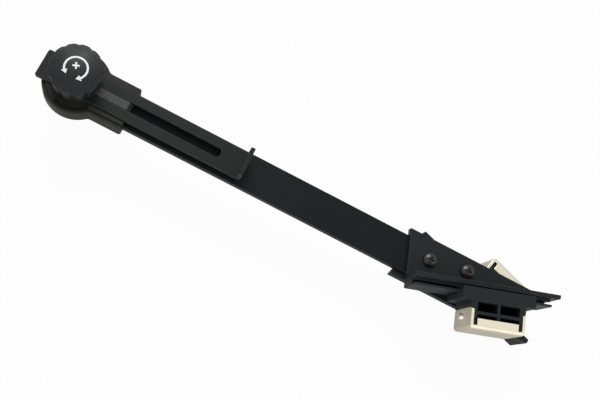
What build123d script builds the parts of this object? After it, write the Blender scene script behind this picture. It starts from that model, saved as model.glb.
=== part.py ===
"""Bicycle wheel truing stand: a flat bar with a sliding gauge plate under a clamp knob at
one end, and a wedge head with two sliding jaws at the other.

Frame: millimetres, +Z up. The origin is on the knob's axis, in the flat underside of the
end housing. The bar runs along +X towards the head. The head's lower half is its upper half
turned by 180 degrees about the bar's centreline.
"""

from build123d import *
from math import cos, radians, sin
import os

# ---------------------------------------------------------------- driving dimensions
# Clearances
RUN_FIT = 0.05          # radial, a shaft turning in its hole
SLIDE_FIT = 0.3         # each side, a moulding sliding on a moulding
SEAT_GAP = 0.1          # each side, a piece dropped into its seat
SCREW_FIT = 0.2         # radial, a screw in its clearance hole

# Bar
BAR_WIDTH = 25.0
BAR_THICKNESS = 6.0
BAR_END_X = 300.7       # end inside the head
BAR_TAIL = 12.0         # length past the knob's axis
BAR_BREAK = 0.4         # broken edges along the bar

# End housing: a tub below the bar and a slide guide on top of it
TUB_RADIUS = 22.4
TUB_HALF_WIDTH = 15.7
TUB_LENGTH = 39.3       # from the knob's axis to the open end
TUB_WALL = 2.6
TUB_FLOOR = 4.0
TUB_RIM = 3.5           # height of the tub's rim above the bar
TUB_CORNER = 3.5        # radius between the disc and the straight sides
TUB_END_CORNER = 1.5    # radius of the tub's two corners at the open end
TUB_CHAMFER = 0.8
GUIDE_FLOOR = 3.9       # from the bar's top to the plate's sliding face
GUIDE_RAIL = 1.7        # height of the side rails above that face
GUIDE_RECESS = 2.4      # sunk sector around the knob, below the sliding face
RECESS_FROM = -110.0    # degrees, where the sunk sector starts
RECESS_TO_X = 15.0      # where it ends
KEY_START = 9.0         # key that runs in the plate's slot, from the knob's axis
KEY_LENGTH = 30.2
KEY_DROP = 0.4          # key's top below the plate's top
KEY_RAMP = 2.2          # slope at the key's front end

# Screws from below that hold the housing's two mouldings to the bar
HOUSING_SCREW_X = TUB_LENGTH - 12.3
HOUSING_SCREWS = ((HOUSING_SCREW_X, 7.5), (HOUSING_SCREW_X, -7.5))
M3_RADIUS = 1.5
M3_HEAD_RADIUS = 2.8
M3_HEAD_HEIGHT = 1.7
M3_LENGTH = 12.0

# Clamp stud, washers and knob
STUD_RADIUS = 3.0
STUD_HEAD_AF = 10.0     # across flats
STUD_HEAD_HEIGHT = 2.4
STUD_LENGTH = 26.5      # above its head
WASHER_RADIUS = 9.0
WASHER_THICKNESS = 1.0
CLAMP_GAP = 0.1          # from the plate up to the washer, with the clamp just loosened
SPRING_RADIUS = 5.6
SPRING_THICKNESS = 1.5
SPRING_SPLIT = 0.8
KNOB_RADIUS = 17.4
KNOB_FOOT_RADIUS = 16.1 # the grip narrows towards its lower end
KNOB_HEIGHT = 19.0
KNOB_BREAK = 0.8
HUB_RADIUS = 8.0
HUB_HEIGHT = 0.4        # hub under the grip, down to the spring washer
KNOB_DOME = 2.6         # rise of the domed top
KNOB_SHOULDER = 1.4     # radius between the dome and the grip
KNOB_LOBES = 12
LOBES_FROM = 21.4       # degrees, where the first hollow is as photographed
LOBE_RADIUS = 2.8       # radius of each hollow between two lobes
LOBE_DEPTH = 1.1
INSERT_AF = 9.0         # hexagon of the threaded insert in the knob
INSERT_LENGTH = 9.0

# Gauge plate
PLATE_WIDTH = 20.0
PLATE_THICKNESS = 3.0
PLATE_TAIL = 24.8       # length past the knob's axis
PLATE_FACE_X = 123.2    # outer face of the bent-up lip
LIP_HEIGHT = 15.0       # above the plate's top
LIP_CORNER = 2.0
BEND_RADIUS = 1.2       # inside radius of the bend
SLOT_WIDTH = 6.5
SLOT_TAIL = 14.0        # slot's end past the knob's axis
SLOT_END_X = 104.2
SLOT_CORNER = 2.2
PLATE_CORNER = 1.5

# Head: a triangular cheek with a rail along its long leg
HEAD_ANGLE = 17.5       # between the rail and the bar
CHEEK_EDGE_Y = 17.0     # cheek's long edge, parallel to the bar
CHEEK_EDGE_LENGTH = 108.1
CHEEK_THICKNESS = 3.0
HEAD_X = 242.4          # cheek's rear corner
RAIL_HEIGHT = 23.0      # from the bar's face
RAIL_WALL = 3.1         # wall beside the cheek
RAIL_CHANNEL = 4.4
RAIL_LIP = 1.5          # outer wall
CHANNEL_DEPTH = 10.0
LEDGE_WIDTH = 2.3       # ledge in the channel that holds the jaw's foot down
LEDGE_THICKNESS = 1.5
LEDGE_DEPTH = 3.0       # from the rail's top to the ledge's top
RAIL_STOP = 1.5         # thickness of the low stops at the channel's two open ends
STOP_HEIGHT = 2.0       # above the channel's floor
RAIL_LIP_SHORT = 6.2    # outer wall and floor end before the inner wall
RAIL_FLOOR_SHORT = 7.8
TIP_CORNER = 1.2        # radius of the inner wall's corners at the head's tip

# Screws through the head
HEAD_SCREWS = ((263.1, 2.4), (290.4, 7.4))
M5_RADIUS = 2.5
M5_HEAD_RADIUS = 4.75
M5_HEAD_HEIGHT = 3.2
M5_LENGTH = 15.0
M5_INSERT_RADIUS = 3.5
M5_INSERT_LENGTH = 6.5
BOSS_WALL = 1.6

# Jaws
JAW_LENGTH = 50.7       # saddle on the rail
JAW_TOP = 32.2          # from the bar's face
JAW_SADDLE_FROM = 5.75  # from the cheek's leg to the saddle's inner edge
JAW_SADDLE_TO = 13.95
JAW_FOOT_HEIGHT = 4.9
GRID_HALF = 18.8        # half length of the ribbed part
GRID_RIB = 1.9
GRID_WALL = 2.2
GRID_FLOOR = 3.2
PAD_FACE = 33.05        # from the cheek's leg to the pad's outer face
PAD_THICKNESS = 1.8
PAD_EAR = 14.2          # ears' length from the outer face
PAD_LIP = 7.3           # lips' width from the outer face
PAD_NOTCH = 2.7         # gap between a lip's end and the ear
PAD_NOTCH_FROM = 2.8    # from the outer face to the gap's closed end
PAD_BEND = 2.4          # outside radius of the bends
PAD_PROUD = 0.3         # pad's edge above the saddle's top
PAD_SCREW_FROM_FACE = 9.05
PAD_SCREW_DROP = 3.0    # below the ear's middle height
PAD_SCREW_RADIUS = 1.25
PAD_SCREW_HEAD = 2.2
PAD_SCREW_HEAD_HEIGHT = 1.5
PAD_SCREW_LENGTH = 5.0
UPPER_JAW_AT = 55.5     # jaw's middle along the rail, from the rail's rear end
LOWER_JAW_AT = 68.3

# ---------------------------------------------------------------- derived sizes
bar_bottom = TUB_FLOOR
bar_top = bar_bottom + BAR_THICKNESS
plate_bottom = bar_top + GUIDE_FLOOR + SEAT_GAP
plate_top = plate_bottom + PLATE_THICKNESS
washer_bottom = plate_top + CLAMP_GAP
insert_bottom = washer_bottom + WASHER_THICKNESS + SPRING_THICKNESS
knob_bottom = insert_bottom + HUB_HEIGHT
knob_top = knob_bottom + KNOB_HEIGHT
stud_head_bottom = bar_bottom - STUD_HEAD_HEIGHT
screw_seat = M3_HEAD_HEIGHT + 0.3
leg_along = CHEEK_EDGE_LENGTH * cos(radians(HEAD_ANGLE))
leg_across = CHEEK_EDGE_LENGTH * sin(radians(HEAD_ANGLE))
corner_x = HEAD_X + leg_across * sin(radians(HEAD_ANGLE))
corner_y = CHEEK_EDGE_Y - leg_across * cos(radians(HEAD_ANGLE))
rail_width = RAIL_WALL + RAIL_CHANNEL + RAIL_LIP
channel_floor = RAIL_HEIGHT - CHANNEL_DEPTH
jaw_bottom = CHEEK_THICKNESS + SLIDE_FIT
pad_bottom = jaw_bottom - PAD_PROUD / 2
pad_top = JAW_TOP + PAD_PROUD
pad_middle = (pad_bottom + pad_top) / 2
pad_screw_height = pad_middle - PAD_SCREW_DROP

# The head's working planes: X along the rail, Y from the rail towards the cheek,
# Z away from the bar. The lower one is the upper one turned about the bar's centreline.
upper_head = Plane(
    origin=(corner_x, corner_y, bar_top),
    x_dir=(cos(radians(HEAD_ANGLE)), sin(radians(HEAD_ANGLE)), 0),
    z_dir=(0, 0, 1),
)
lower_head = Plane(
    origin=(corner_x, -corner_y, bar_bottom),
    x_dir=(cos(radians(HEAD_ANGLE)), -sin(radians(HEAD_ANGLE)), 0),
    z_dir=(0, 0, -1),
)

os.makedirs("parts", exist_ok=True)


def save(builder, label):
    """Label a finished piece and write it to its own file."""
    builder.part.label = label
    export_step(builder.part, f"parts/{label}.step")


def slab(plane, x, y, z, mode=Mode.ADD):
    """Add or cut a box given by its (low, high) limits in a plane's own axes."""
    with BuildSketch(plane.offset(z[0])) as outline:
        with Locations(((x[0] + x[1]) / 2, (y[0] + y[1]) / 2)):
            Rectangle(x[1] - x[0], y[1] - y[0])
    extrude(outline.sketch, amount=z[1] - z[0], mode=mode)


def dome_radius(half_width, rise):
    """Radius of the ball whose cap has the given half width and rise."""
    return (half_width**2 + rise**2) / (2 * rise)


def pan_head_screw(plane, head_radius, head_height, shank_radius, length):
    """Add a domed cross-head screw whose seat is on a plane, shank against its normal."""
    rise = head_height * 0.5
    with BuildSketch(Plane(plane.origin, x_dir=plane.x_dir, z_dir=-plane.y_dir)) as half:
        with BuildLine():
            Polyline(
                (0, head_height),
                (0, -length),
                (shank_radius, -length),
                (shank_radius, 0),
                (head_radius, 0),
                (head_radius, head_height - rise),
            )
            RadiusArc(
                (head_radius, head_height - rise),
                (0, head_height),
                -dome_radius(head_radius, rise),
            )
        make_face()
    revolve(half.sketch, axis=Axis(plane.origin, plane.z_dir))
    with BuildSketch(plane.offset(head_height * 0.4)) as cross:
        Rectangle(head_radius * 1.05, head_radius * 0.25)
        Rectangle(head_radius * 0.25, head_radius * 1.05)
    extrude(cross.sketch, amount=head_height, mode=Mode.SUBTRACT)


# ---------------------------------------------------------------- bar
with BuildPart() as bar:
    bar_length = BAR_END_X + BAR_TAIL
    with BuildSketch(Plane.XY.offset(bar_bottom)):
        with Locations(((BAR_END_X - BAR_TAIL) / 2, 0)):
            Rectangle(bar_length, BAR_WIDTH)
    extrude(amount=BAR_THICKNESS)
    chamfer(bar.edges().filter_by(Axis.X), BAR_BREAK)
    with BuildSketch(Plane.XY.offset(bar_bottom)):
        Circle(STUD_RADIUS + SCREW_FIT)
        with Locations(*HOUSING_SCREWS):
            Circle(M3_RADIUS + SCREW_FIT)
        with Locations(*HEAD_SCREWS):
            Circle(M5_RADIUS + SCREW_FIT)
    extrude(amount=BAR_THICKNESS, mode=Mode.SUBTRACT)
save(bar, "bar")


# ---------------------------------------------------------------- end housing
def housing_outline(radius, half_width, length, corner, end_corner=0.0):
    """Sketch of a disc about the knob's axis run into a straight-sided tongue along +X."""
    with BuildSketch() as outline:
        Circle(radius)
        with Locations((length / 2, 0)):
            Rectangle(length, 2 * half_width)
        joints = outline.vertices().filter_by_position(Axis.X, 1.0, length - 1.0)
        fillet(joints, corner)
        if end_corner:
            fillet(outline.vertices().group_by(Axis.X)[-1], end_corner)
    return outline.sketch


tub_outer = housing_outline(
    TUB_RADIUS, TUB_HALF_WIDTH, TUB_LENGTH, TUB_CORNER, TUB_END_CORNER
)
tub_inner = housing_outline(
    TUB_RADIUS - TUB_WALL, TUB_HALF_WIDTH - TUB_WALL, TUB_LENGTH, TUB_CORNER
)
guide_outline = housing_outline(
    TUB_RADIUS - TUB_WALL - SEAT_GAP,
    TUB_HALF_WIDTH - TUB_WALL - SEAT_GAP,
    TUB_LENGTH,
    TUB_CORNER,
)

with BuildPart() as housing_tub:
    add(tub_outer)
    extrude(amount=bar_top + TUB_RIM)
    outer_rims = housing_tub.faces().filter_by(Axis.Z).edges()
    chamfer(outer_rims, TUB_CHAMFER)
    with BuildSketch(Plane.XY.offset(TUB_FLOOR)):
        add(tub_inner)
    extrude(amount=bar_top + TUB_RIM, mode=Mode.SUBTRACT)
    # The stud's head is held between the floor and the bar
    with BuildSketch(Plane.XY.offset(stud_head_bottom)):
        RegularPolygon(STUD_HEAD_AF / 2 + SEAT_GAP, 6, major_radius=False)
    extrude(amount=STUD_HEAD_HEIGHT, mode=Mode.SUBTRACT)
    with BuildSketch(Plane.XY):
        with Locations(*HOUSING_SCREWS):
            Circle(M3_RADIUS + SCREW_FIT)
    extrude(amount=TUB_FLOOR, mode=Mode.SUBTRACT)
    with BuildSketch(Plane.XY):
        with Locations(*HOUSING_SCREWS):
            Circle(M3_HEAD_RADIUS + SCREW_FIT)
    extrude(amount=screw_seat, mode=Mode.SUBTRACT)
save(housing_tub, "housing_tub")

with BuildPart() as slide_guide:
    rail_top = GUIDE_FLOOR + GUIDE_RAIL
    with BuildSketch(Plane.XY.offset(bar_top)):
        add(guide_outline)
    extrude(amount=rail_top)
    chamfer(slide_guide.faces().sort_by(Axis.Z)[-1].edges(), TUB_CHAMFER / 2)
    groove_half = PLATE_WIDTH / 2 + SLIDE_FIT
    groove_x = (-TUB_RADIUS, TUB_LENGTH + TUB_RADIUS)
    slab(Plane.XY, groove_x, (-groove_half, groove_half),
         (bar_top + GUIDE_FLOOR, bar_top + rail_top), Mode.SUBTRACT)
    # The key that stands in the plate's slot
    key_half = SLOT_WIDTH / 2 - SLIDE_FIT
    key_end, key_top = KEY_START + KEY_LENGTH, plate_top - KEY_DROP
    with BuildSketch(Plane.XZ):
        Polygon((KEY_START, bar_top + GUIDE_FLOOR), (key_end, bar_top + GUIDE_FLOOR),
                (key_end, key_top - KEY_RAMP), (key_end - KEY_RAMP, key_top),
                (KEY_START, key_top), align=None)
    extrude(amount=key_half, both=True)
    # The sunk sector beside the knob
    far_x, far_y = (
        2 * TUB_RADIUS * cos(radians(RECESS_FROM)),
        2 * TUB_RADIUS * sin(radians(RECESS_FROM)),
    )
    with BuildSketch(Plane.XY.offset(bar_top + GUIDE_FLOOR - GUIDE_RECESS)):
        add(guide_outline)
        Polygon((0, 0), (far_x, far_y), (RECESS_TO_X, far_y), (RECESS_TO_X, 0),
                mode=Mode.INTERSECT)
        Rectangle(4 * TUB_RADIUS, 2 * groove_half, mode=Mode.SUBTRACT)
    extrude(amount=GUIDE_RECESS + GUIDE_RAIL, mode=Mode.SUBTRACT)
    with BuildSketch(Plane.XY.offset(bar_top)):
        Circle(STUD_RADIUS + SCREW_FIT)
    extrude(amount=rail_top, mode=Mode.SUBTRACT)
    with BuildSketch(Plane.XY.offset(bar_top)):
        with Locations(*HOUSING_SCREWS):
            Circle(M3_RADIUS)
    extrude(amount=screw_seat + M3_LENGTH - bar_top, mode=Mode.SUBTRACT)
save(slide_guide, "slide_guide")

with BuildPart() as housing_screws:
    for screw_x, screw_y in HOUSING_SCREWS:
        seat = Plane((screw_x, screw_y, screw_seat), x_dir=(1, 0, 0), z_dir=(0, 0, -1))
        pan_head_screw(seat, M3_HEAD_RADIUS, M3_HEAD_HEIGHT, M3_RADIUS, M3_LENGTH)
save(housing_screws, "housing_screws")

# ---------------------------------------------------------------- clamp stud, washer, knob
with BuildPart() as clamp_stud:
    with BuildSketch(Plane.XY.offset(stud_head_bottom)):
        RegularPolygon(STUD_HEAD_AF / 2, 6, major_radius=False)
    extrude(amount=STUD_HEAD_HEIGHT)
    with BuildSketch(Plane.XY.offset(bar_bottom)):
        Circle(STUD_RADIUS)
    extrude(amount=STUD_LENGTH)
    chamfer(clamp_stud.edges().sort_by(Axis.Z)[-1], 0.6)
save(clamp_stud, "clamp_stud")

with BuildPart() as pressure_washer:
    with BuildSketch(Plane.XY.offset(washer_bottom)):
        Circle(WASHER_RADIUS)
        Circle(STUD_RADIUS + RUN_FIT, mode=Mode.SUBTRACT)
    extrude(amount=WASHER_THICKNESS)
save(pressure_washer, "pressure_washer")

with BuildPart() as spring_washer:
    with BuildSketch(Plane.XY.offset(washer_bottom + WASHER_THICKNESS)):
        Circle(SPRING_RADIUS)
        Circle(STUD_RADIUS + RUN_FIT, mode=Mode.SUBTRACT)
        with Locations((0, SPRING_RADIUS)):
            Rectangle(SPRING_SPLIT, 2 * SPRING_RADIUS, rotation=-20, mode=Mode.SUBTRACT)
    extrude(amount=SPRING_THICKNESS)
save(spring_washer, "spring_washer")

with BuildPart() as knob:
    dome_half = KNOB_RADIUS - KNOB_SHOULDER
    dome_base = knob_top - KNOB_DOME
    with BuildSketch(Plane.XZ):
        with BuildLine():
            Polyline(
                (0, knob_top),
                (0, insert_bottom),
                (HUB_RADIUS, insert_bottom),
                (HUB_RADIUS, knob_bottom),
                (KNOB_FOOT_RADIUS - KNOB_BREAK, knob_bottom),
                (KNOB_FOOT_RADIUS, knob_bottom + KNOB_BREAK),
                (KNOB_RADIUS, dome_base - KNOB_SHOULDER),
            )
            RadiusArc(
                (KNOB_RADIUS, dome_base - KNOB_SHOULDER), (dome_half, dome_base), -KNOB_SHOULDER
            )
            RadiusArc((dome_half, dome_base), (0, knob_top), -dome_radius(dome_half, KNOB_DOME))
        make_face()
    revolve(axis=Axis.Z)
    # Hollows between the lobes, leaning with the grip's taper
    lean = (KNOB_RADIUS - KNOB_FOOT_RADIUS) / (dome_base - KNOB_SHOULDER - knob_bottom)
    for lobe in range(KNOB_LOBES):
        turn = radians(LOBES_FROM + lobe * 360 / KNOB_LOBES)
        reach = KNOB_FOOT_RADIUS + LOBE_RADIUS - LOBE_DEPTH
        side = Plane(
            origin=(reach * cos(turn), reach * sin(turn), knob_bottom),
            z_dir=(lean * cos(turn), lean * sin(turn), 1),
        )
        with BuildSketch(side):
            Circle(LOBE_RADIUS)
        extrude(amount=KNOB_HEIGHT, both=True, mode=Mode.SUBTRACT)
    with BuildSketch(Plane.XY.offset(insert_bottom)):
        RegularPolygon(INSERT_AF / 2, 6, major_radius=False)
    extrude(amount=INSERT_LENGTH, mode=Mode.SUBTRACT)
    with BuildSketch(Plane.XY.offset(insert_bottom)):
        Circle(STUD_RADIUS + SLIDE_FIT)
    extrude(amount=dome_base - 1.0 - insert_bottom, mode=Mode.SUBTRACT)
save(knob, "knob")

with BuildPart() as knob_insert:
    with BuildSketch(Plane.XY.offset(insert_bottom)):
        RegularPolygon(INSERT_AF / 2, 6, major_radius=False)
        Circle(STUD_RADIUS + RUN_FIT, mode=Mode.SUBTRACT)
    extrude(amount=INSERT_LENGTH)
save(knob_insert, "knob_insert")

# ---------------------------------------------------------------- gauge plate
with BuildPart() as gauge_plate:
    outer_bend = BEND_RADIUS + PLATE_THICKNESS
    lip_inner = PLATE_FACE_X - PLATE_THICKNESS
    lip_top = plate_top + LIP_HEIGHT
    with BuildSketch(Plane.XZ):
        with BuildLine():
            Line((-PLATE_TAIL, plate_bottom), (PLATE_FACE_X - outer_bend, plate_bottom))
            RadiusArc(
                (PLATE_FACE_X - outer_bend, plate_bottom),
                (PLATE_FACE_X, plate_bottom + outer_bend),
                -outer_bend,
            )
            Line((PLATE_FACE_X, plate_bottom + outer_bend), (PLATE_FACE_X, lip_top))
            Line((PLATE_FACE_X, lip_top), (lip_inner, lip_top))
            Line((lip_inner, lip_top), (lip_inner, plate_top + BEND_RADIUS))
            RadiusArc(
                (lip_inner, plate_top + BEND_RADIUS),
                (lip_inner - BEND_RADIUS, plate_top),
                BEND_RADIUS,
            )
            Line((lip_inner - BEND_RADIUS, plate_top), (-PLATE_TAIL, plate_top))
            Line((-PLATE_TAIL, plate_top), (-PLATE_TAIL, plate_bottom))
        make_face()
    extrude(amount=PLATE_WIDTH / 2, both=True)
    corners = gauge_plate.edges().filter_by(Axis.Z).group_by(Axis.X)[0]
    fillet(corners, PLATE_CORNER)
    lip_corners = gauge_plate.edges().filter_by(Axis.X).group_by(Axis.Z)[-1]
    fillet(lip_corners, LIP_CORNER)
    with BuildSketch(Plane.XY.offset(plate_bottom)):
        with Locations(((SLOT_END_X - SLOT_TAIL) / 2, 0)):
            RectangleRounded(SLOT_END_X + SLOT_TAIL, SLOT_WIDTH, SLOT_CORNER)
    extrude(amount=PLATE_THICKNESS, mode=Mode.SUBTRACT)
save(gauge_plate, "gauge_plate")


# ---------------------------------------------------------------- head halves
def head_half(base, label, bored):
    """Make one half of the head on its working plane and save it.

    bored is True for the half that the screws pass through, and False for the half that
    holds their threaded inserts.
    """
    seam = -BAR_THICKNESS / 2
    ledge_top = RAIL_HEIGHT - LEDGE_DEPTH
    floor_end = leg_along - RAIL_FLOOR_SHORT
    lip_end = leg_along - RAIL_LIP_SHORT
    with BuildPart() as half:
        with BuildSketch(base.offset(seam)):
            with BuildLine():
                Polyline((0, -RAIL_WALL), (leg_along, -RAIL_WALL), (leg_along, 0),
                         (0, leg_across), close=True)
            make_face()
        extrude(amount=CHEEK_THICKNESS - seam)
        # Inner wall, channel floor, outer wall and the stops at the channel's two ends
        slab(base, (0, leg_along), (-RAIL_WALL, 0), (0, RAIL_HEIGHT))
        slab(base, (0, floor_end), (-rail_width, 0), (0, channel_floor))
        slab(base, (0, lip_end), (-rail_width, -rail_width + RAIL_LIP), (0, RAIL_HEIGHT))
        for stop_x in (0, floor_end - RAIL_STOP):
            slab(base, (stop_x, stop_x + RAIL_STOP), (-rail_width, 0),
                 (0, channel_floor + STOP_HEIGHT))
        slab(base, (0, lip_end), (-RAIL_WALL - LEDGE_WIDTH, -RAIL_WALL),
             (ledge_top - LEDGE_THICKNESS, ledge_top))
        # Round the tip on the rail side
        tip_edges = half.edges().filter_by(Axis.Z).group_by(Axis(base.origin, base.x_dir))[-1]
        fillet(tip_edges.group_by(Axis(base.origin, base.y_dir))[0], TIP_CORNER)
        if not bored:
            for screw_x, screw_y in HEAD_SCREWS:
                seat = base.to_local_coords(Vector(screw_x, screw_y, base.origin.Z))
                if seat.Y > 0:
                    with BuildSketch(base):
                        with Locations((seat.X, seat.Y)):
                            Circle(M5_INSERT_RADIUS + BOSS_WALL)
                    extrude(amount=M5_INSERT_LENGTH + BOSS_WALL)
        with BuildSketch(base):
            for screw_x, screw_y in HEAD_SCREWS:
                seat = base.to_local_coords(Vector(screw_x, screw_y, base.origin.Z))
                with Locations((seat.X, seat.Y)):
                    Circle(M5_RADIUS + SCREW_FIT if bored else M5_INSERT_RADIUS)
        extrude(amount=CHEEK_THICKNESS if bored else M5_INSERT_LENGTH, mode=Mode.SUBTRACT)
        # The bar's half of the pocket between the two halves
        slab(Plane.XY, (0, BAR_END_X + SEAT_GAP),
             (-BAR_WIDTH / 2 - SEAT_GAP, BAR_WIDTH / 2 + SEAT_GAP),
             (bar_bottom, bar_top), Mode.SUBTRACT)
    save(half, label)


head_half(upper_head, "head_upper", True)
head_half(lower_head, "head_lower", False)

with BuildPart() as head_screws:
    for screw_x, screw_y in HEAD_SCREWS:
        seat = Plane((screw_x, screw_y, bar_top + CHEEK_THICKNESS))
        pan_head_screw(seat, M5_HEAD_RADIUS, M5_HEAD_HEIGHT, M5_RADIUS, M5_LENGTH)
save(head_screws, "head_screws")

with BuildPart() as head_inserts:
    with BuildSketch(Plane.XY.offset(bar_bottom)):
        with Locations(*HEAD_SCREWS):
            Circle(M5_INSERT_RADIUS)
            Circle(M5_RADIUS + RUN_FIT, mode=Mode.SUBTRACT)
    extrude(amount=-M5_INSERT_LENGTH)
save(head_inserts, "head_inserts")


# ---------------------------------------------------------------- jaws
def jaw_plane(base, along):
    """The head's working plane moved along the rail to a jaw's middle."""
    return Plane(
        origin=base.from_local_coords(Vector(along, 0, 0)),
        x_dir=base.x_dir,
        z_dir=base.z_dir,
    )


def jaw_block(base, label):
    """Make the moulded jaw that straddles the rail's outer wall, and save it."""
    ends = (-JAW_LENGTH / 2, JAW_LENGTH / 2)
    stem_out = RAIL_WALL + RAIL_CHANNEL - SLIDE_FIT
    grid_end = PAD_FACE - PAD_THICKNESS
    pad_seat = PAD_FACE - PAD_EAR
    lip_edge = PAD_FACE - PAD_LIP - SEAT_GAP
    inner_half = GRID_HALF - PAD_THICKNESS
    with BuildPart() as block:
        # Saddle over the rail, stem and foot in the channel, skirt outside the rail
        slab(base, ends, (-JAW_SADDLE_TO, -JAW_SADDLE_FROM),
             (RAIL_HEIGHT + SLIDE_FIT, JAW_TOP))
        slab(base, ends, (-stem_out, -JAW_SADDLE_FROM),
             (channel_floor + SLIDE_FIT, RAIL_HEIGHT + SLIDE_FIT))
        slab(base, ends, (-stem_out, -RAIL_WALL - SLIDE_FIT),
             (channel_floor + SLIDE_FIT, channel_floor + SLIDE_FIT + JAW_FOOT_HEIGHT))
        slab(base, ends, (-JAW_SADDLE_TO, -rail_width - SLIDE_FIT), (jaw_bottom, JAW_TOP))
        # Ribbed part, stepped in by the pad's thickness where the pad covers it
        slab(base, (-GRID_HALF, GRID_HALF), (-pad_seat, -JAW_SADDLE_TO),
             (jaw_bottom, JAW_TOP))
        slab(base, (-inner_half, inner_half), (-lip_edge, -pad_seat),
             (jaw_bottom, JAW_TOP))
        slab(base, (-inner_half, inner_half), (-grid_end, -lip_edge),
             (pad_bottom + PAD_THICKNESS, pad_top - PAD_THICKNESS))
        # Four pockets open away from the bar
        pocket_from = JAW_SADDLE_TO + GRID_RIB / 2
        pocket_to = grid_end - GRID_RIB
        rib_at = (pocket_from + pocket_to) / 2 - GRID_RIB / 2
        for side in (-1, 1):
            pocket_x = sorted((side * GRID_RIB / 2, side * (inner_half - GRID_WALL)))
            for pocket_y in ((pocket_from, rib_at), (rib_at + GRID_RIB, pocket_to)):
                slab(base, pocket_x, (-pocket_y[1], -pocket_y[0]),
                     (jaw_bottom + GRID_FLOOR, JAW_TOP), Mode.SUBTRACT)
        # Pilot holes for the pad's screws
        pilots = Plane(
            origin=base.from_local_coords(
                Vector(0, PAD_SCREW_FROM_FACE - PAD_FACE, pad_screw_height)
            ),
            x_dir=base.z_dir,
            z_dir=base.x_dir,
        )
        with BuildSketch(pilots.offset(-inner_half)):
            Circle(PAD_SCREW_RADIUS)
        extrude(amount=2 * inner_half, mode=Mode.SUBTRACT)
    save(block, label)


def jaw_pad(base, label):
    """Make the folded sheet-metal pad that caps a jaw, and save it."""
    out, ear_end, lip_end = -PAD_FACE, PAD_EAR - PAD_FACE, PAD_LIP - PAD_FACE
    inner_half = GRID_HALF - PAD_THICKNESS
    lip_half = inner_half - PAD_NOTCH
    with BuildPart() as pad:
        slab(base, (-GRID_HALF, GRID_HALF), (out, ear_end), (pad_bottom, pad_top))
        face_edges = pad.faces().sort_by_distance(
            base.from_local_coords(Vector(0, 3 * out, pad_middle))
        )[0].edges()
        fillet(face_edges, PAD_BEND)
        ear_edges = pad.faces().sort_by_distance(
            base.from_local_coords(Vector(0, -out, pad_middle))
        )[0].edges().filter_by(Axis(base.origin, base.x_dir))
        fillet(ear_edges, PAD_BEND)
        slab(base, (-inner_half, inner_half), (out + PAD_THICKNESS, 0),
             (pad_bottom + PAD_THICKNESS, pad_top - PAD_THICKNESS), Mode.SUBTRACT)
        # Open the top and bottom between the lips and the ears
        slab(base, (-inner_half, inner_half), (lip_end, 0), (0, 2 * pad_top), Mode.SUBTRACT)
        for side in (-1, 1):
            notch_x = sorted((side * lip_half, side * inner_half))
            slab(base, notch_x, (out + PAD_NOTCH_FROM, 0), (0, 2 * pad_top), Mode.SUBTRACT)
        screw_line = Plane(
            origin=base.from_local_coords(
                Vector(0, PAD_SCREW_FROM_FACE - PAD_FACE, pad_screw_height)
            ),
            x_dir=base.z_dir,
            z_dir=base.x_dir,
        )
        with BuildSketch(screw_line.offset(-GRID_HALF)):
            Circle(PAD_SCREW_RADIUS + SCREW_FIT)
        extrude(amount=2 * GRID_HALF, mode=Mode.SUBTRACT)
    save(pad, label)


def jaw_screws(base, label):
    """Make the two screws that hold a pad's ears, and save them as one group."""
    with BuildPart() as screws:
        for side in (-1, 1):
            seat = Plane(
                origin=base.from_local_coords(
                    Vector(side * GRID_HALF, PAD_SCREW_FROM_FACE - PAD_FACE, pad_screw_height)
                ),
                x_dir=base.y_dir,
                z_dir=side * base.x_dir,
            )
            pan_head_screw(seat, PAD_SCREW_HEAD, PAD_SCREW_HEAD_HEIGHT,
                           PAD_SCREW_RADIUS, PAD_SCREW_LENGTH)
    save(screws, label)


for name, head_base, along in (
    ("upper", upper_head, UPPER_JAW_AT),
    ("lower", lower_head, LOWER_JAW_AT),
):
    jaw_base = jaw_plane(head_base, along)
    jaw_block(jaw_base, f"jaw_block_{name}")
    jaw_pad(jaw_base, f"jaw_pad_{name}")
    jaw_screws(jaw_base, f"jaw_screws_{name}")
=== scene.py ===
"""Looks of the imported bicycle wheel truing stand.

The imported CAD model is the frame. Each CAD node is dressed as it is, or a finished mesh in the
same place stands for it. Lengths are in metres, in the frame's own axes: the bar runs along
+X from the clamp knob to the wedge head, and +Z is up through the knob.
"""

import logging
import math
from dataclasses import dataclass
from enum import Enum
from typing import Protocol

import bmesh
import bpy
from mathutils import Matrix, Vector


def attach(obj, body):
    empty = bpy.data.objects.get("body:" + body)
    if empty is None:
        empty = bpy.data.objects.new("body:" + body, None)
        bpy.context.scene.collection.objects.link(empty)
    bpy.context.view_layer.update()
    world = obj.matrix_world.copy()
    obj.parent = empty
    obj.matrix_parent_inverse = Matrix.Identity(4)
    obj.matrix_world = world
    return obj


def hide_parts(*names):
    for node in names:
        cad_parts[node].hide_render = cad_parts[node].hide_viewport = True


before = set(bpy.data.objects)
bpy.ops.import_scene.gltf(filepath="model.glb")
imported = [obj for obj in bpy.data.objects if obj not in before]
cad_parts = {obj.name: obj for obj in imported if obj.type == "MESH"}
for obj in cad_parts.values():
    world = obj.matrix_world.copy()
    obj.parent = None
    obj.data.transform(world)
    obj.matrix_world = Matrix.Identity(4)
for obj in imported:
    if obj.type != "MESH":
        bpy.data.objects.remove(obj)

LOG = logging.getLogger("truing_stand")
MM = 0.001
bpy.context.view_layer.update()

Triple = tuple[float, float, float]
Pair = tuple[float, float]
Socket = bpy.types.NodeSocket

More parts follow.
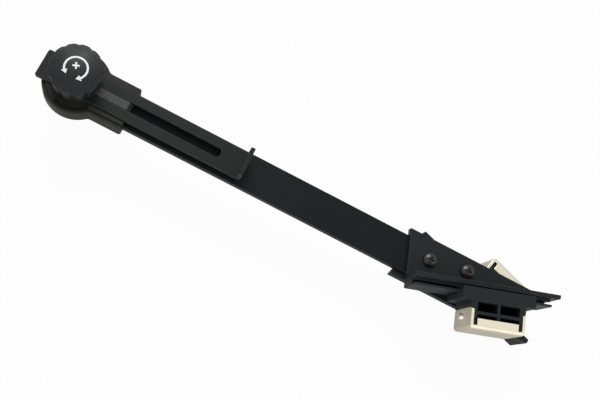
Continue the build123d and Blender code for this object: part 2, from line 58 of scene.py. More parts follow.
WEAR_AND_HIGHLIGHT = "worn_and_highlit"  # corner attribute of wear and painted highlight: 0 on plain faces, 1 on rounded edges, more on the key for its painted sheen
WORN_HIGHLIT_BLACK = (0.058, 0.060, 0.058)  # paler black of worn spots, of painted highlights on rounded edges and of the key's painted sheen
MERGE_DISTANCE = 0.001 * MM  # corners of a CAD mesh that are closer than this are one
FLAT_ANGLE = 0.6  # degrees, CAD faces that meet flatter than this are joined
CREASE_ANGLE = 32.0  # degrees, edges that are sharper than this are rounded
EVEN_WEIGHT = 100  # how much more large faces count in the shading of a rounded edge


class Body(str, Enum):
    """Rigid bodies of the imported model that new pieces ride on."""

    FRAME = "frame"
    GAUGE = "gauge"
    KNOB = "knob"
    UPPER_JAW = "upper_jaw"
    LOWER_JAW = "lower_jaw"


class Slot(str, Enum):
    """Names of material slots of the record, listed with the jaw's pieces but not given to them.
    """

    PLATE = "black_plate"
    MOULDING = "black_moulding"
    KNOB = "knob_moulding"
    PAD = "plated_sheet"
    BRIGHT_SCREW = "bright_screw"
    BLACK_SCREW = "black_screw"


# ------------------------------------------------------------------------------ finishes
@dataclass(frozen=True)
class Pattern:
    """A noise pattern.

    Attributes:
        size: Size of its features, in metres.
        detail: Finer layers that it carries.
        stretch: How much longer the features are along X.
        turn: Turn of the pattern about Z, in degrees.
    """

    size: float
    detail: float = 2.0
    stretch: float = 1.0
    turn: float = 0.0


@dataclass(frozen=True)
class Spread:
    """A range of results, and the pattern's values that give its two ends.

    Attributes:
        low: Result at the start.
        high: Result at the end.
        start: Value of the pattern at the start.
        end: Value of the pattern at the end.
    """

    low: float
    high: float
    start: float = 0.3
    end: float = 0.7


def lighter(colour: Triple, by: float) -> Triple:
    """Return a colour multiplied by a number, kept within 1."""
    return tuple(min(1.0, channel * by) for channel in colour)


def maths(tree: bpy.types.NodeTree, operation: str, *values: "float | Socket") -> Socket:
    """Add a math node.

    Args:
        tree: Node tree that it is added to.
        operation: Name of the node's operation.
        values: Its values in order, each a number or the socket that gives it.

    Returns:
        The result's socket.
    """
    node = tree.nodes.new("ShaderNodeMath")
    node.operation = operation
    for entry, value in zip(node.inputs, values):
        if isinstance(value, float):
            entry.default_value = value
        else:
            tree.links.new(value, entry)
    return node.outputs["Value"]


class Shading:
    """Node tree of one material, with short calls to add and join its nodes."""

    def __init__(self, name: str, metallic: float = 0.0) -> None:
        """Start a material with a principled surface and its own object coordinates.

        Args:
            name: Name of the material.
            metallic: Metal share of the surface, from 0 to 1.
        """
        self.material = bpy.data.materials.new(name)
        self.material.use_nodes = True
        self.tree = self.material.node_tree
        self.tree.nodes.clear()
        output = self.tree.nodes.new("ShaderNodeOutputMaterial")
        self.surface = self.tree.nodes.new("ShaderNodeBsdfPrincipled")
        self.surface.inputs["Metallic"].default_value = metallic
        self.tree.links.new(self.surface.outputs["BSDF"], output.inputs["Surface"])
        self.place = self.tree.nodes.new("ShaderNodeTexCoord").outputs["Object"]

    def noise(self, pattern: Pattern) -> Socket:
        """Add a noise pattern.

        Args:
            pattern: The pattern to add.

        Returns:
            The pattern's value socket.
        """
        mapping = self.tree.nodes.new("ShaderNodeMapping")
        mapping.vector_type = "TEXTURE"
        mapping.inputs["Rotation"].default_value[2] = math.radians(pattern.turn)
        mapping.inputs["Scale"].default_value = (
            pattern.size * pattern.stretch, pattern.size, pattern.size
        )
        noise = self.tree.nodes.new("ShaderNodeTexNoise")
        noise.inputs["Scale"].default_value = 1.0
        noise.inputs["Detail"].default_value = pattern.detail
        self.tree.links.new(self.place, mapping.inputs["Vector"])
        self.tree.links.new(mapping.outputs["Vector"], noise.inputs["Vector"])
        return noise.outputs["Fac"]

    def span(self, value: Socket, spread: Spread) -> Socket:
        """Map a value to another range.

        Args:
            value: The value to map.
            spread: The two ranges.

        Returns:
            The mapped value's socket.
        """
        span = self.tree.nodes.new("ShaderNodeMapRange")
        for name, number in (
            ("From Min", spread.start),
            ("From Max", spread.end),
            ("To Min", spread.low),
            ("To Max", spread.high),
        ):
            span.inputs[name].default_value = number
        self.tree.links.new(value, span.inputs["Value"])
        return span.outputs["Result"]

    def blended(self, share: Socket, low: "Socket | Triple", high: Triple) -> Socket:
        """Blend two colours.

        Args:
            share: Share of the second colour.
            low: First colour, or the socket that gives it.
            high: Second colour.

        Returns:
            The blended colour's socket.
        """
        mix = self.tree.nodes.new("ShaderNodeMix")
        mix.data_type = "RGBA"
        factor, first, second = mix.inputs[0], mix.inputs[6], mix.inputs[7]
        self.tree.links.new(share, factor)
        if isinstance(low, tuple):
            first.default_value = (*low, 1.0)
        else:
            self.tree.links.new(low, first)
        second.default_value = (*high, 1.0)
        return mix.outputs[2]

    def toned(self, colour: Triple, value: Socket, tones: Spread) -> Socket:
        """Vary a colour with a pattern.

        Args:
            colour: The colour.
            value: Value of the pattern.
            tones: What the colour is multiplied by where the pattern is low and high.

        Returns:
            The varied colour's socket.
        """
        share = self.span(value, Spread(0.0, 1.0, tones.start, tones.end))
        return self.blended(share, lighter(colour, tones.low), lighter(colour, tones.high))

    def worn_and_highlit(self, amount: "float | Socket") -> Socket:
        """Return the share of wear and painted highlight: an amount on marked faces, none
        elsewhere.

        Args:
            amount: The amount on a rounded edge.

        Returns:
            The amount's socket.
        """
        attribute = self.tree.nodes.new("ShaderNodeAttribute")
        attribute.attribute_name = WEAR_AND_HIGHLIGHT
        return maths(self.tree, "MULTIPLY", attribute.outputs["Fac"], amount)

    def colour(self, value: Socket) -> None:
        """Join a colour to the surface."""
        self.tree.links.new(value, self.surface.inputs["Base Color"])

    def dullness(self, value: Socket, spread: Spread, middle: float = 0.0) -> None:
        """Join a roughness to the surface.

        Args:
            value: Value of the pattern that it follows.
            spread: How far it differs from the middle.
            middle: The middle roughness.
        """
        varied = maths(self.tree, "ADD", self.span(value, spread), middle)
        self.tree.links.new(varied, self.surface.inputs["Roughness"])

    def relief(self, *layers: tuple[Socket, float]) -> None:
        """Add bump layers to the surface.

        Args:
            layers: Height value and depth in metres of each layer.
        """
        under = None
        for height, depth in layers:
            bump = self.tree.nodes.new("ShaderNodeBump")
            bump.inputs["Distance"].default_value = depth
            self.tree.links.new(height, bump.inputs["Height"])
            if under is not None:
                self.tree.links.new(under, bump.inputs["Normal"])
            under = bump.outputs["Normal"]
        self.tree.links.new(under, self.surface.inputs["Normal"])


class Finish(Protocol):
    """A surface finish that can make its material."""

    name: str

    def material(self) -> bpy.types.Material:
        """Make the finish's material."""


@dataclass(frozen=True)
class SatinEnamel:
    """Baked black enamel on steel: faint peel, rub marks, edges paler for wear and painted
    highlight.
    """

    name: str
    colour: Triple
    dullness: float = 0.42
    specular: float = 0.15
    cloud: Pattern = Pattern(38 * MM, 3.0)
    tones: Spread = Spread(0.85, 1.2, 0.35, 0.65)
    wear_and_highlight_patches: Pattern = Pattern(3 * MM)
    wear_and_highlight_amount: Spread = Spread(0.1, 0.7)
    rub_marks: Pattern = Pattern(0.5 * MM, 3.0, stretch=40.0, turn=8.0)
    haze: Spread = Spread(-0.04, 0.05, 0.35, 0.7)
    peel: Pattern = Pattern(1.1 * MM, 1.0)
    peel_depth: float = 0.03 * MM
    pits: Pattern = Pattern(0.25 * MM)
    pit_depth: float = 0.006 * MM

    def material(self) -> bpy.types.Material:
        """Make the enamel's material."""
        shading = Shading(self.name)
        shading.surface.inputs["Specular IOR Level"].default_value = self.specular
        tone = shading.toned(self.colour, shading.noise(self.cloud), self.tones)
        # rounded edges painted paler: part wear, part painted highlight
        wear_and_highlight_share = shading.worn_and_highlit(shading.span(shading.noise(self.wear_and_highlight_patches), self.wear_and_highlight_amount))
        shading.colour(shading.blended(wear_and_highlight_share, tone, WORN_HIGHLIT_BLACK))
        shading.dullness(shading.noise(self.rub_marks), self.haze, self.dullness)
        shading.relief(
            (shading.noise(self.peel), self.peel_depth),
            (shading.noise(self.pits), self.pit_depth),
        )
        return shading.material


@dataclass(frozen=True)
class Moulding:
    """Black glass-filled plastic: spark-eroded texture, edges paler for wear and painted
    highlight.
    """

    name: str
    colour: Triple
    dullness: float = 0.5
    specular: float = 0.2
    flow: Pattern = Pattern(22 * MM, 4.0, stretch=2.5)
    tones: Spread = Spread(0.86, 1.18, 0.35, 0.65)
    wear_and_highlight_patches: Pattern = Pattern(2 * MM)
    wear_and_highlight_amount: Spread = Spread(0.25, 0.8)
    handled: Pattern = Pattern(9 * MM, 3.0)
    haze: Spread = Spread(-0.05, 0.06, 0.35, 0.65)
    sink: Pattern = Pattern(7 * MM, 1.0)
    sink_depth: float = 0.05 * MM
    grain: Pattern = Pattern(0.4 * MM)
    grain_depth: float = 0.02 * MM

    def material(self) -> bpy.types.Material:
        """Make the plastic's material."""
        shading = Shading(self.name)
        shading.surface.inputs["Specular IOR Level"].default_value = self.specular
        tone = shading.toned(self.colour, shading.noise(self.flow), self.tones)
        # rounded edges and the key painted paler: part wear, part painted highlight and sheen
        wear_and_highlight_share = shading.worn_and_highlit(shading.span(shading.noise(self.wear_and_highlight_patches), self.wear_and_highlight_amount))
        shading.colour(shading.blended(wear_and_highlight_share, tone, WORN_HIGHLIT_BLACK))
        shading.dullness(shading.noise(self.handled), self.haze, self.dullness)
        shading.relief(
            (shading.noise(self.sink), self.sink_depth),
            (shading.noise(self.grain), self.grain_depth),
        )
        return shading.material


@dataclass(frozen=True)
class NickelPlate:
    """Warm satin nickel over rolled sheet, with drawn lines along the jaw."""

    name: str
    turn: float
    colour: Triple = (0.68, 0.63, 0.50)
    cloud: Pattern = Pattern(6 * MM, 3.0)
    tones: Spread = Spread(0.94, 1.0)
    edge_share: float = 0.5
    edge_tone: float = 1.12
    line_width: float = 0.12 * MM
    line_stretch: float = 60.0
    line_depth: float = 0.003 * MM
    haze: Spread = Spread(0.34, 0.46)
    waves: Pattern = Pattern(2.5 * MM, 1.0)
    wave_depth: float = 0.02 * MM

    def material(self) -> bpy.types.Material:
        """Make the plating's material."""
        shading = Shading(self.name, metallic=1.0)
        tone = shading.toned(self.colour, shading.noise(self.cloud), self.tones)
        # rounded edges painted paler: part wear, part painted highlight
        wear_and_highlight_share = shading.worn_and_highlit(self.edge_share)
        shading.colour(shading.blended(wear_and_highlight_share, tone, lighter(self.colour, self.edge_tone)))
        lines = shading.noise(
            Pattern(self.line_width, stretch=self.line_stretch, turn=self.turn)
        )
        shading.dullness(lines, self.haze)
        shading.relief((shading.noise(self.waves), self.wave_depth), (lines, self.line_depth))
        return shading.material


@dataclass(frozen=True)
class TurnedMetal:
    """Plain plated or blackened metal of small turned and pressed pieces."""

    name: str
    colour: Triple
    dullness: float
    metallic: float = 1.0
    cloud: Pattern = Pattern(1.5 * MM, 3.0)
    tones: Spread = Spread(0.8, 1.1)
    edge_share: float = 0.7
    edge_tone: float = 1.8
    marks: Pattern = Pattern(0.2 * MM)
    mark_depth: float = 0.004 * MM
    haze: Spread = Spread(-0.06, 0.08)

    def material(self) -> bpy.types.Material:
        """Make the metal's material."""
        shading = Shading(self.name, metallic=self.metallic)
        tone = shading.toned(self.colour, shading.noise(self.cloud), self.tones)
        # rounded edges painted paler: part wear, part painted highlight
        wear_and_highlight_share = shading.worn_and_highlit(self.edge_share)
        shading.colour(shading.blended(wear_and_highlight_share, tone, lighter(self.colour, self.edge_tone)))
        marks = shading.noise(self.marks)
        shading.dullness(marks, self.haze, self.dullness)
        shading.relief((marks, self.mark_depth))
        return shading.material


@dataclass(frozen=True)
class PadPrint:
    """White pad-printed ink, a little thin and uneven."""

    name: str
    colour: Triple
    dullness: float = 0.55
    thin: Pattern = Pattern(0.5 * MM, 4.0)
    tones: Spread = Spread(0.6, 1.0, 0.3, 0.5)
    depth: float = 0.004 * MM

    def material(self) -> bpy.types.Material:
        """Make the ink's material."""
        shading = Shading(self.name)
        shading.surface.inputs["Roughness"].default_value = self.dullness
        thin = shading.noise(self.thin)
        shading.colour(shading.toned(self.colour, thin, self.tones))
        shading.relief((thin, self.depth))
        return shading.material


BAR_ENAMEL = SatinEnamel("bar_enamel", (0.0042, 0.0062, 0.0068), specular=0.12)
PLATE_ENAMEL = SatinEnamel("plate_enamel", (0.0080, 0.0096, 0.0090), dullness=0.46)
BLACK_MOULDING = Moulding("black_moulding", (0.0085, 0.0118, 0.0128), specular=0.16)
HOUSING_MOULDING = Moulding("housing_moulding", (0.0180, 0.0185, 0.0165), specular=0.14)
KNOB_MOULDING = Moulding(
    "knob_moulding", (0.0070, 0.0088, 0.0092), dullness=0.44, specular=0.22,
    grain=Pattern(0.3 * MM), grain_depth=0.01 * MM,
)
NICKEL_UPPER = NickelPlate("nickel_upper", turn=17.5)
NICKEL_LOWER = NickelPlate("nickel_lower", turn=-17.5)
ZINC = TurnedMetal("zinc_plate", (0.58, 0.59, 0.60), dullness=0.36)
BRIGHT = TurnedMetal("bright_nickel", (0.94, 0.94, 0.93), dullness=0.36)
BLACKENED = TurnedMetal("black_oxide", (0.016, 0.0145, 0.012), dullness=0.30, metallic=0.25)
BRASS = TurnedMetal("turned_brass", (0.72, 0.52, 0.22), dullness=0.3)
WHITE_INK = PadPrint("white_ink", (0.82, 0.82, 0.82))


# ------------------------------------------------------------------------------ meshes
def linked(bm: bmesh.types.BMesh, name: str) -> bpy.types.Object:
    """Turn a bmesh into an object of the scene, at the origin.

    Args:
        bm: The finished bmesh, which is freed.
        name: Name of the piece.

    Returns:
        The new object.
    """
    mesh = bpy.data.meshes.new(name)
    bm.to_mesh(mesh)
    bm.free()
    piece = bpy.data.objects.new(name, mesh)
    bpy.context.scene.collection.objects.link(piece)
    return piece


def spun(bm: bmesh.types.BMesh, line: list[bmesh.types.BMVert], angle: float, steps: int,
         closed: bool) -> None:
    """Spin a line of vertices about Z, and put the new edges and faces in a fixed order.

    Without the sorting, they are stored in a different order on each run.

    Args:
        bm: The bmesh that holds the line.
        line: Its vertices in order.
        angle: Angle of the spin, in radians.
        steps: Steps of the spin.
        closed: Whether the last step meets the first.
    """
    edges = [bm.edges.new(pair) for pair in zip(line, line[1:])]
    bmesh.ops.spin(
        bm, geom=[*line, *edges], cent=(0, 0, 0), axis=(0, 0, 1), dvec=(0, 0, 0),
        angle=angle, steps=steps, use_merge=closed,
    )
    bm.verts.index_update()
    count = len(bm.verts)
    for parts in (bm.edges, bm.faces):
        parts.sort(
            key=lambda part: min(v.index for v in part.verts) * count
            + max(v.index for v in part.verts)
        )


def rounded_copy(node: str, name: str, edge: float, steps: int = 3) -> bpy.types.Object:
    """Copy a CAD node's mesh and round its sharp edges.

    Args:
        node: Name of the CAD node.
        name: Name of the new piece.
        edge: Width of the rounding, in metres.
        steps: Segments across each rounding.

    Returns:
        The new object, with its rounded faces marked for wear and a painted highlight.
    """
    bm = bmesh.new()
    bm.from_mesh(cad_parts[node].data)
    bmesh.ops.remove_doubles(bm, verts=bm.verts, dist=MERGE_DISTANCE)
    bmesh.ops.dissolve_limit(
        bm, angle_limit=math.radians(FLAT_ANGLE), verts=bm.verts, edges=bm.edges
    )
    crease = math.radians(CREASE_ANGLE)
    sharp = [e for e in bm.edges if e.is_manifold and e.calc_face_angle() > crease]
    made = bmesh.ops.bevel(
        bm, geom=sharp, offset=edge, offset_type="OFFSET", segments=steps, profile=0.5,
        affect="EDGES", clamp_overlap=True, material=-1, loop_slide=True,
    )
    rounded = set(made["faces"])
    # rounded faces are marked to be painted paler: wear and a painted highlight
    mark = bm.loops.layers.float.new(WEAR_AND_HIGHLIGHT)
    for face in bm.faces:
        face.smooth = True
        for loop in face.loops:
            loop[mark] = 1.0 if face in rounded else 0.0
    piece = linked(bm, name)
    even = piece.modifiers.new("even_normals", "WEIGHTED_NORMAL")
    even.weight = EVEN_WEIGHT
    even.keep_sharp = True
    return piece


def paint_wear_and_sheen(piece: bpy.types.Object, low: Triple, high: Triple, amount: float) -> None:
    """Mark the faces inside a box as worn by what slides over them, with a painted sheen.

    Args:
        piece: Piece made by rounded_copy.
        low: Lowest corner of the box.
        high: Highest corner of the box.
        amount: Value of the wear and highlight attribute there.
    """
    bm = bmesh.new()
    bm.from_mesh(piece.data)
    mark = bm.loops.layers.float[WEAR_AND_HIGHLIGHT]
    for face in bm.faces:
        centre = face.calc_center_median()
        if all(a <= c <= b for a, c, b in zip(low, centre, high)):
            for loop in face.loops:
                loop[mark] = amount
    bm.to_mesh(piece.data)
    bm.free()


class Workshop:
    """Puts finishes on pieces and pieces on bodies."""

    def __init__(self) -> None:
        """Start with no materials made."""
        self.made: dict[str, bpy.types.Material] = {}

    def finish(self, piece: bpy.types.Object, finish: Finish) -> None:
        """Give a piece its one material.

        Args:
            piece: The piece to dress.
            finish: The finish that it takes.
        """
        if finish.name not in self.made:
            self.made[finish.name] = finish.material()
        piece.data.materials.clear()
        piece.data.materials.append(self.made[finish.name])

    def fit(self, piece: bpy.types.Object, body: Body, finish: Finish,
            stands_for: tuple[str, ...] = ()) -> None:
        """Dress a new piece, put it on its body and report it.

        Args:
            piece: The new piece.
            body: Body that it rides on.
            finish: Its finish.
            stands_for: CAD nodes that it replaces.
        """
        self.finish(piece, finish)
        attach(piece, body.value)
        if stands_for:
            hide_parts(*stands_for)
        LOG.info("%s rides on %s", piece.name, body.value)

    def dress(self, node: str, finish: Finish) -> None:
        """Dress a CAD node that stays as it is.

        Args:
            node: Name of the CAD node.
            finish: Its finish.
        """
        self.finish(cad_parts[node], finish)
        LOG.info("%s is kept and dressed", node)


# ------------------------------------------------------------------------------ the stand
@dataclass
class BarAndHousing:
    """The flat bar and the two mouldings round its end.

    The key is the raised strip of the guide that the plate's slot slides along.
    """

    edge: float = 0.6 * MM
    key_low: Triple = (0.0, -3.5 * MM, 15.5 * MM)
    key_high: Triple = (60 * MM, 3.5 * MM, 18 * MM)
    key_wear_and_sheen: float = 2.0

    def build(self, shop: Workshop) -> None:
        """Make and dress the sub-assembly.

        Args:
            shop: Workshop that fits the pieces.
        """
        shop.dress("bar", BAR_ENAMEL)
        tub = rounded_copy("housing_tub", "housing_tub_moulding", self.edge)
        guide = rounded_copy("slide_guide", "slide_guide_moulding", self.edge)
        # the key's top painted paler: part wear from the plate, part painted sheen
        paint_wear_and_sheen(guide, self.key_low, self.key_high, self.key_wear_and_sheen)
        for piece, node in ((tub, "housing_tub"), (guide, "slide_guide")):
            shop.fit(piece, Body.FRAME, HOUSING_MOULDING, (node,))
        shop.dress("housing_screws", ZINC)


@dataclass
class GaugePlate:
    """The slotted steel plate with its end folded up."""

    edge: float = 0.3 * MM

    def build(self, shop: Workshop) -> None:
        """Make and dress the plate.

        Args:
            shop: Workshop that fits the piece.
        """
        piece = rounded_copy("gauge_plate", "gauge_plate_sheet", self.edge)
        shop.fit(piece, Body.GAUGE, PLATE_ENAMEL, ("gauge_plate",))


@dataclass
class ClampKnob:
    """The clamp knob: a domed top, a lobed grip, a hub and a printed turning mark.

    The edges of the hub and the foot are lists of points, each so far inward from the radius
    and so far up from the bottom.
    """

    radius: float = 17.4 * MM
    foot_radius: float = 16.1 * MM
    foot_edge: tuple[Pair, ...] = ((0.9 * MM, 0.0), (0.3 * MM, 0.15 * MM), (0.0, 0.7 * MM))
    hub_radius: float = 8.0 * MM
    hub_edge: tuple[Pair, ...] = ((0.3 * MM, 0.0), (0.0, 0.2 * MM))
    bore_radius: float = 3.3 * MM
    bore_depth: float = 0.4 * MM
    hub_bottom: float = 19.6 * MM
    bottom: float = 20.0 * MM
    top: float = 39.0 * MM
    dome: float = 2.6 * MM
    dome_steps: int = 12
    shoulder: float = 1.4 * MM
    shoulder_turn: float = 82.0
    shoulder_steps: int = 7
    side_steps: int = 8
    merge_distance: float = 0.002 * MM

    lobes: int = 12
    lobes_from: float = 21.4
    hollow_radius: float = 2.8 * MM
    hollow_depth: float = 1.1 * MM
    hollow_margin: float = 1.25
    hollow_blend: float = 0.18 * MM
    steps_per_lobe: int = 36
    lobes_clear_of_hub: float = 0.1 * MM

    ink: float = 0.04 * MM
    ink_lift: float = 0.2
    plus_offset: float = 1.4 * MM
    plus_length: float = 4.4 * MM
    plus_width: float = 1.15 * MM
    plus_turn: float = 24.0
    plus_cells: int = 8
    ring_inner: float = 6.6 * MM
    ring_outer: float = 7.9 * MM
    ring_from: float = -40.0
    ring_to: float = 215.0
    ring_steps: int = 72
    arrow_half_width: float = 2.0 * MM
    arrow_length: float = 0.42
    arrow_cuts: int = 4

    def dome_height(self, reach: float) -> float:
        """Height of the domed top at a distance from the axis."""
        half = self.radius - self.shoulder
        ball = (half**2 + self.dome**2) / (2 * self.dome)
        return self.top - ball + math.sqrt(ball**2 - reach**2)

    def profile(self) -> list[Pair]:
        """Return the grip's half section as (distance, height) points, from bore to dome."""
        half = self.radius - self.shoulder
        straight_top = self.top - self.dome - self.shoulder
        points = [(self.bore_radius, self.hub_bottom + self.bore_depth)]
        points += [(self.bore_radius, self.hub_bottom)]
        points += [(self.hub_radius - i, self.hub_bottom + up) for i, up in self.hub_edge]
        points += [(self.hub_radius, self.bottom)]
        points += [(self.foot_radius - i, self.bottom + up) for i, up in self.foot_edge]
        foot_top = points[-1][1]
        for step in range(1, self.side_steps + 1):
            share = step / self.side_steps
            reach = self.foot_radius + (self.radius - self.foot_radius) * share
            points.append((reach, foot_top + (straight_top - foot_top) * share))
        for step in range(1, self.shoulder_steps + 1):
            turn = math.radians(self.shoulder_turn * step / self.shoulder_steps)
            reach = half + self.shoulder * math.cos(turn)
            points.append((reach, straight_top + self.shoulder * math.sin(turn)))
        for step in range(self.dome_steps, -1, -1):
            reach = half * step / self.dome_steps
            points.append((reach, self.dome_height(reach)))
        return points

    def hollowed(self, reach: float, angle: float, height: float) -> float:
        """Distance from the axis after the grip's hollows, which lean with its taper, are cut.

        Args:
            reach: Distance from the axis before the cut.
            angle: Angle round the axis, in radians.
            height: Height above the frame's origin.

        Returns:
            The new distance, never larger than the old one.
        """
        pitch = 2 * math.pi / self.lobes
        first = math.radians(self.lobes_from)
        off = abs((angle - first + pitch / 2) % pitch - pitch / 2)
        straight = self.top - self.dome - self.shoulder - self.bottom
        lean = (self.radius - self.foot_radius) / straight
        middle = self.foot_radius + self.hollow_radius - self.hollow_depth
        middle += lean * (height - self.bottom)
        side = middle * math.sin(off)
        if side >= self.hollow_radius * self.hollow_margin:
            return reach
        inside = max(self.hollow_radius**2 - side**2, 0.0)
        floor = middle * math.cos(off) - math.sqrt(inside)
        soft = self.hollow_blend
        share = max(0.0, min(1.0, 0.5 + 0.5 * (floor - reach) / soft))
        return min(reach, reach * share + floor * (1 - share) - soft * share * (1 - share))

    def grip(self) -> bpy.types.Object:
        """Spin the half section into the knob and cut its hollows."""
        bm = bmesh.new()
        line = [bm.verts.new((reach, 0.0, height)) for reach, height in self.profile()]
        spun(bm, line, 2 * math.pi, self.lobes * self.steps_per_lobe, closed=True)
        bmesh.ops.remove_doubles(bm, verts=bm.verts, dist=self.merge_distance)
        for vert in bm.verts:
            reach = math.hypot(vert.co.x, vert.co.y)
            if reach > self.hub_radius + self.lobes_clear_of_hub:
                angle = math.atan2(vert.co.y, vert.co.x)
                share = self.hollowed(reach, angle, vert.co.z) / reach
                vert.co.x *= share
                vert.co.y *= share
        bmesh.ops.recalc_face_normals(bm, faces=bm.faces)
        for face in bm.faces:
            face.smooth = True
        return linked(bm, "knob_grip")

    def draw_plus(self, bm: bmesh.types.BMesh) -> None:
        """Draw the plus inside the ring, flat.

        Args:
            bm: The mark's bmesh.
        """
        turn = Matrix.Rotation(math.radians(self.plus_turn), 4, "Z")
        place = turn @ Matrix.Translation((0, self.plus_offset, 0))
        for wide, high in (
            (self.plus_length, self.plus_width),
            (self.plus_width, self.plus_length),
        ):
            bmesh.ops.create_grid(
                bm, x_segments=self.plus_cells, y_segments=self.plus_cells, size=0.5,
                matrix=place @ Matrix.Diagonal((wide, high, 1.0, 1.0)),
            )

    def draw_ring(self, bm: bmesh.types.BMesh) -> None:
        """Draw the open ring and its two arrow heads, flat.

        Args:
            bm: The mark's bmesh.
        """
        start, end = math.radians(self.ring_from), math.radians(self.ring_to)
        middle = (self.ring_inner + self.ring_outer) / 2
        across = [
            bm.verts.new((reach * math.cos(start), reach * math.sin(start), 0.0))
            for reach in (self.ring_inner, middle, self.ring_outer)
        ]
        spun(bm, across, end - start, self.ring_steps, closed=False)
        for turn, way in ((end, 1.0), (start, -1.0)):
            corners = (
                (middle - self.arrow_half_width, turn),
                (middle + self.arrow_half_width, turn),
                (middle, turn + way * self.arrow_length),
            )
            face = bm.faces.new(
                [bm.verts.new((r * math.cos(a), r * math.sin(a), 0.0)) for r, a in corners]
            )
            bmesh.ops.subdivide_edges(
                bm, edges=list(face.edges), cuts=self.arrow_cuts, use_grid_fill=True
            )

    def mark(self) -> bpy.types.Object:
        """Print the turning mark: an open ring with an arrow head at each end, round a plus."""
        bm = bmesh.new()
        self.draw_plus(bm)
        self.draw_ring(bm)
        for vert in bm.verts:
            on_dome = self.dome_height(math.hypot(vert.co.x, vert.co.y))
            vert.co.z = on_dome + self.ink * self.ink_lift
        bmesh.ops.recalc_face_normals(bm, faces=bm.faces)
        for face in bm.faces:
            if face.normal.z < 0:
                face.normal_flip()
        piece = linked(bm, "knob_turning_mark")
        solid = piece.modifiers.new("ink", "SOLIDIFY")
        solid.thickness = self.ink
        solid.offset = 0.0
        return piece

    def build(self, shop: Workshop) -> None:
        """Make and dress the knob and what is under it.

        Args:
            shop: Workshop that fits the pieces.
        """
        shop.fit(self.grip(), Body.KNOB, KNOB_MOULDING, ("knob",))
        shop.fit(self.mark(), Body.KNOB, WHITE_INK)
        shop.dress("knob_insert", BRASS)
        for node in ("clamp_stud", "pressure_washer", "spring_washer"):
            shop.dress(node, ZINC)


@dataclass
class WedgeHead:
    """The head's two mouldings and the screws and inserts that join them to the bar."""

    edge: float = 0.4 * MM
    screw_edge: float = 0.15 * MM
    screw_steps: int = 2

    def build(self, shop: Workshop) -> None:
        """Make and dress the head.

        Args:
            shop: Workshop that fits the pieces.
        """
        for node in ("head_upper", "head_lower"):
            piece = rounded_copy(node, f"{node}_moulding", self.edge)
            shop.fit(piece, Body.FRAME, BLACK_MOULDING, (node,))
        screws = rounded_copy(
            "head_screws", "head_screws_turned", self.screw_edge, self.screw_steps
        )
        shop.fit(screws, Body.FRAME, BLACKENED, ("head_screws",))
        shop.dress("head_inserts", BRASS)


@dataclass
class Jaw:
    """One sliding jaw: its ribbed block, plated pad and ear screws."""

    side: str
    body: Body
    nickel: NickelPlate
    block_edge: float = 0.35 * MM
    pad_edge: float = 0.3 * MM
    screw_edge: float = 0.1 * MM

    def build(self, shop: Workshop) -> None:
        """Make and dress the jaw.

        Args:
            shop: Workshop that fits the pieces.
        """
        for stem, edge, finish, slot in (
            ("jaw_block", self.block_edge, BLACK_MOULDING, Slot.MOULDING),
            ("jaw_pad", self.pad_edge, self.nickel, Slot.PAD),
            ("jaw_screws", self.screw_edge, BRIGHT, Slot.BRIGHT_SCREW),
        ):
            node = f"{stem}_{self.side}"
            piece = rounded_copy(node, f"{node}_finished", edge)
            shop.fit(piece, self.body, finish, (node,))


# ------------------------------------------------------------------------------ the studio
@dataclass(frozen=True)
class SoftBox:
    """A soft rectangular lamp: where it hangs, its width and height, and its watts."""

    name: str
    place: Triple
    size: Pair
    power: float


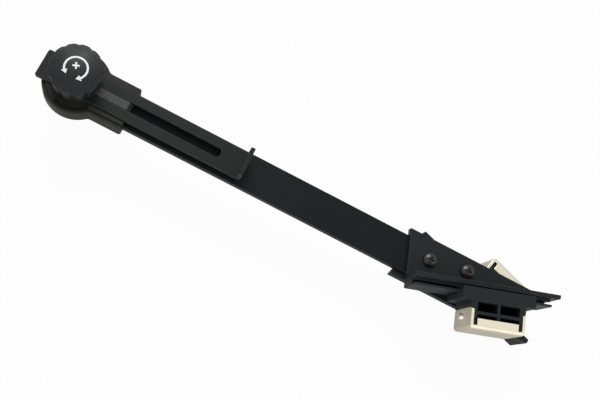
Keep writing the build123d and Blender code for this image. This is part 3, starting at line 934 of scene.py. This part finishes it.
@dataclass
class Studio:
    """Pale floor, soft lights and the camera at the photograph's place.

    The camera's eye and its three directions are in the frame's axes. The glow is the floor's
    own light as the camera sees it, and the gleam is the same as reflections see it.
    """

    eye: Triple = (0.10759, -0.17248, 0.5872)
    right: Triple = (0.88424, 0.41599, 0.21247)
    down: Triple = (0.45717, -0.86393, -0.21085)
    ahead: Triple = (0.09585, 0.28348, -0.95409)
    lens: float = 54.0
    sensor: float = 36.0
    nearest: float = 0.01
    farthest: float = 50.0
    floor_size: float = 6.0
    floor_touch: Triple = (0.16, 0.0, -0.0295)
    floor_shade: float = 0.80
    floor_glow: float = 0.95
    floor_gleam: float = 0.10
    sky: float = 0.28
    aim: Triple = (0.16, 0.0, 0.0)
    boxes: tuple[SoftBox, ...] = (
        SoftBox("key_box", (-0.45, 1.15, 1.35), (0.9, 0.7), 24.0),
        SoftBox("front_box", (0.1, -1.3, 0.95), (1.6, 1.0), 11.0),
        SoftBox("side_box", (1.3, -0.2, 0.8), (1.0, 0.8), 4.0),
    )

    def camera(self) -> None:
        """Make the camera and make it the scene's own."""
        data = bpy.data.cameras.new("camera")
        data.sensor_width = self.sensor
        data.lens = self.lens
        data.clip_start = self.nearest
        data.clip_end = self.farthest
        camera = bpy.data.objects.new("camera", data)
        axes = Matrix(
            (self.right, [-d for d in self.down], [-a for a in self.ahead])
        ).transposed()
        camera.matrix_world = Matrix.Translation(self.eye) @ axes.to_4x4()
        bpy.context.scene.collection.objects.link(camera)
        bpy.context.scene.camera = camera

    def floor(self) -> None:
        """Lay the pale floor under the stand."""
        bm = bmesh.new()
        bmesh.ops.create_grid(bm, x_segments=1, y_segments=1, size=self.floor_size / 2)
        bmesh.ops.translate(bm, verts=bm.verts, vec=self.floor_touch)
        floor = linked(bm, "studio_floor")
        material = bpy.data.materials.new("studio_paper")
        material.use_nodes = True
        tree = material.node_tree
        tree.nodes.clear()
        paper = tree.nodes.new("ShaderNodeBsdfDiffuse")
        paper.inputs["Color"].default_value = (self.floor_shade,) * 3 + (1.0,)
        glow = tree.nodes.new("ShaderNodeEmission")
        glow.inputs["Strength"].default_value = 1.0
        rays = tree.nodes.new("ShaderNodeLightPath").outputs
        seen = maths(tree, "MULTIPLY", rays["Is Camera Ray"], self.floor_glow)
        share = maths(tree, "MULTIPLY_ADD", rays["Is Glossy Ray"], self.floor_gleam, seen)
        mix = tree.nodes.new("ShaderNodeMixShader")
        output = tree.nodes.new("ShaderNodeOutputMaterial")
        tree.links.new(share, mix.inputs["Fac"])
        tree.links.new(paper.outputs["BSDF"], mix.inputs[1])
        tree.links.new(glow.outputs["Emission"], mix.inputs[2])
        tree.links.new(mix.outputs["Shader"], output.inputs["Surface"])
        floor.data.materials.append(material)

    def sky_light(self) -> None:
        """Set the world: plain light for surfaces, white where it is seen."""
        world = bpy.data.worlds.new("studio_world")
        bpy.context.scene.world = world
        world.use_nodes = True
        tree = world.node_tree
        tree.nodes.clear()
        rays = tree.nodes.new("ShaderNodeLightPath").outputs
        seen = maths(tree, "MAXIMUM", rays["Is Camera Ray"], rays["Is Glossy Ray"])
        seen = maths(tree, "MAXIMUM", seen, rays["Is Transmission Ray"])
        strength = tree.nodes.new("ShaderNodeMapRange")
        strength.inputs["To Min"].default_value = self.sky
        strength.inputs["To Max"].default_value = 1.0
        background = tree.nodes.new("ShaderNodeBackground")
        background.inputs["Color"].default_value = (1.0, 1.0, 1.0, 1.0)
        output = tree.nodes.new("ShaderNodeOutputWorld")
        tree.links.new(seen, strength.inputs["Value"])
        tree.links.new(strength.outputs["Result"], background.inputs["Strength"])
        tree.links.new(background.outputs["Background"], output.inputs["Surface"])

    def hang(self, box: SoftBox) -> None:
        """Hang one soft box so that it faces the middle of the stand.

        Args:
            box: The lamp to hang.
        """
        data = bpy.data.lights.new(box.name, "AREA")
        data.shape = "RECTANGLE"
        data.size, data.size_y = box.size
        data.energy = box.power
        lamp = bpy.data.objects.new(box.name, data)
        turn = (Vector(self.aim) - Vector(box.place)).to_track_quat("-Z", "Y")
        lamp.matrix_world = Matrix.Translation(box.place) @ turn.to_matrix().to_4x4()
        bpy.context.scene.collection.objects.link(lamp)

    def build(self) -> None:
        """Set up the whole studio."""
        self.camera()
        self.floor()
        self.sky_light()
        for box in self.boxes:
            self.hang(box)
        bpy.context.scene.view_settings.view_transform = "Standard"


def main() -> None:
    """Build every sub-assembly in order, then the studio."""
    logging.basicConfig(level=logging.INFO, format="%(name)s: %(message)s")
    shop = Workshop()
    for assembly in (
        BarAndHousing(),
        GaugePlate(),
        ClampKnob(),
        WedgeHead(),
        Jaw("upper", Body.UPPER_JAW, NICKEL_UPPER),
        Jaw("lower", Body.LOWER_JAW, NICKEL_LOWER),
    ):
        assembly.build(shop)
    Studio().build()


if __name__ == "__main__":
    main()
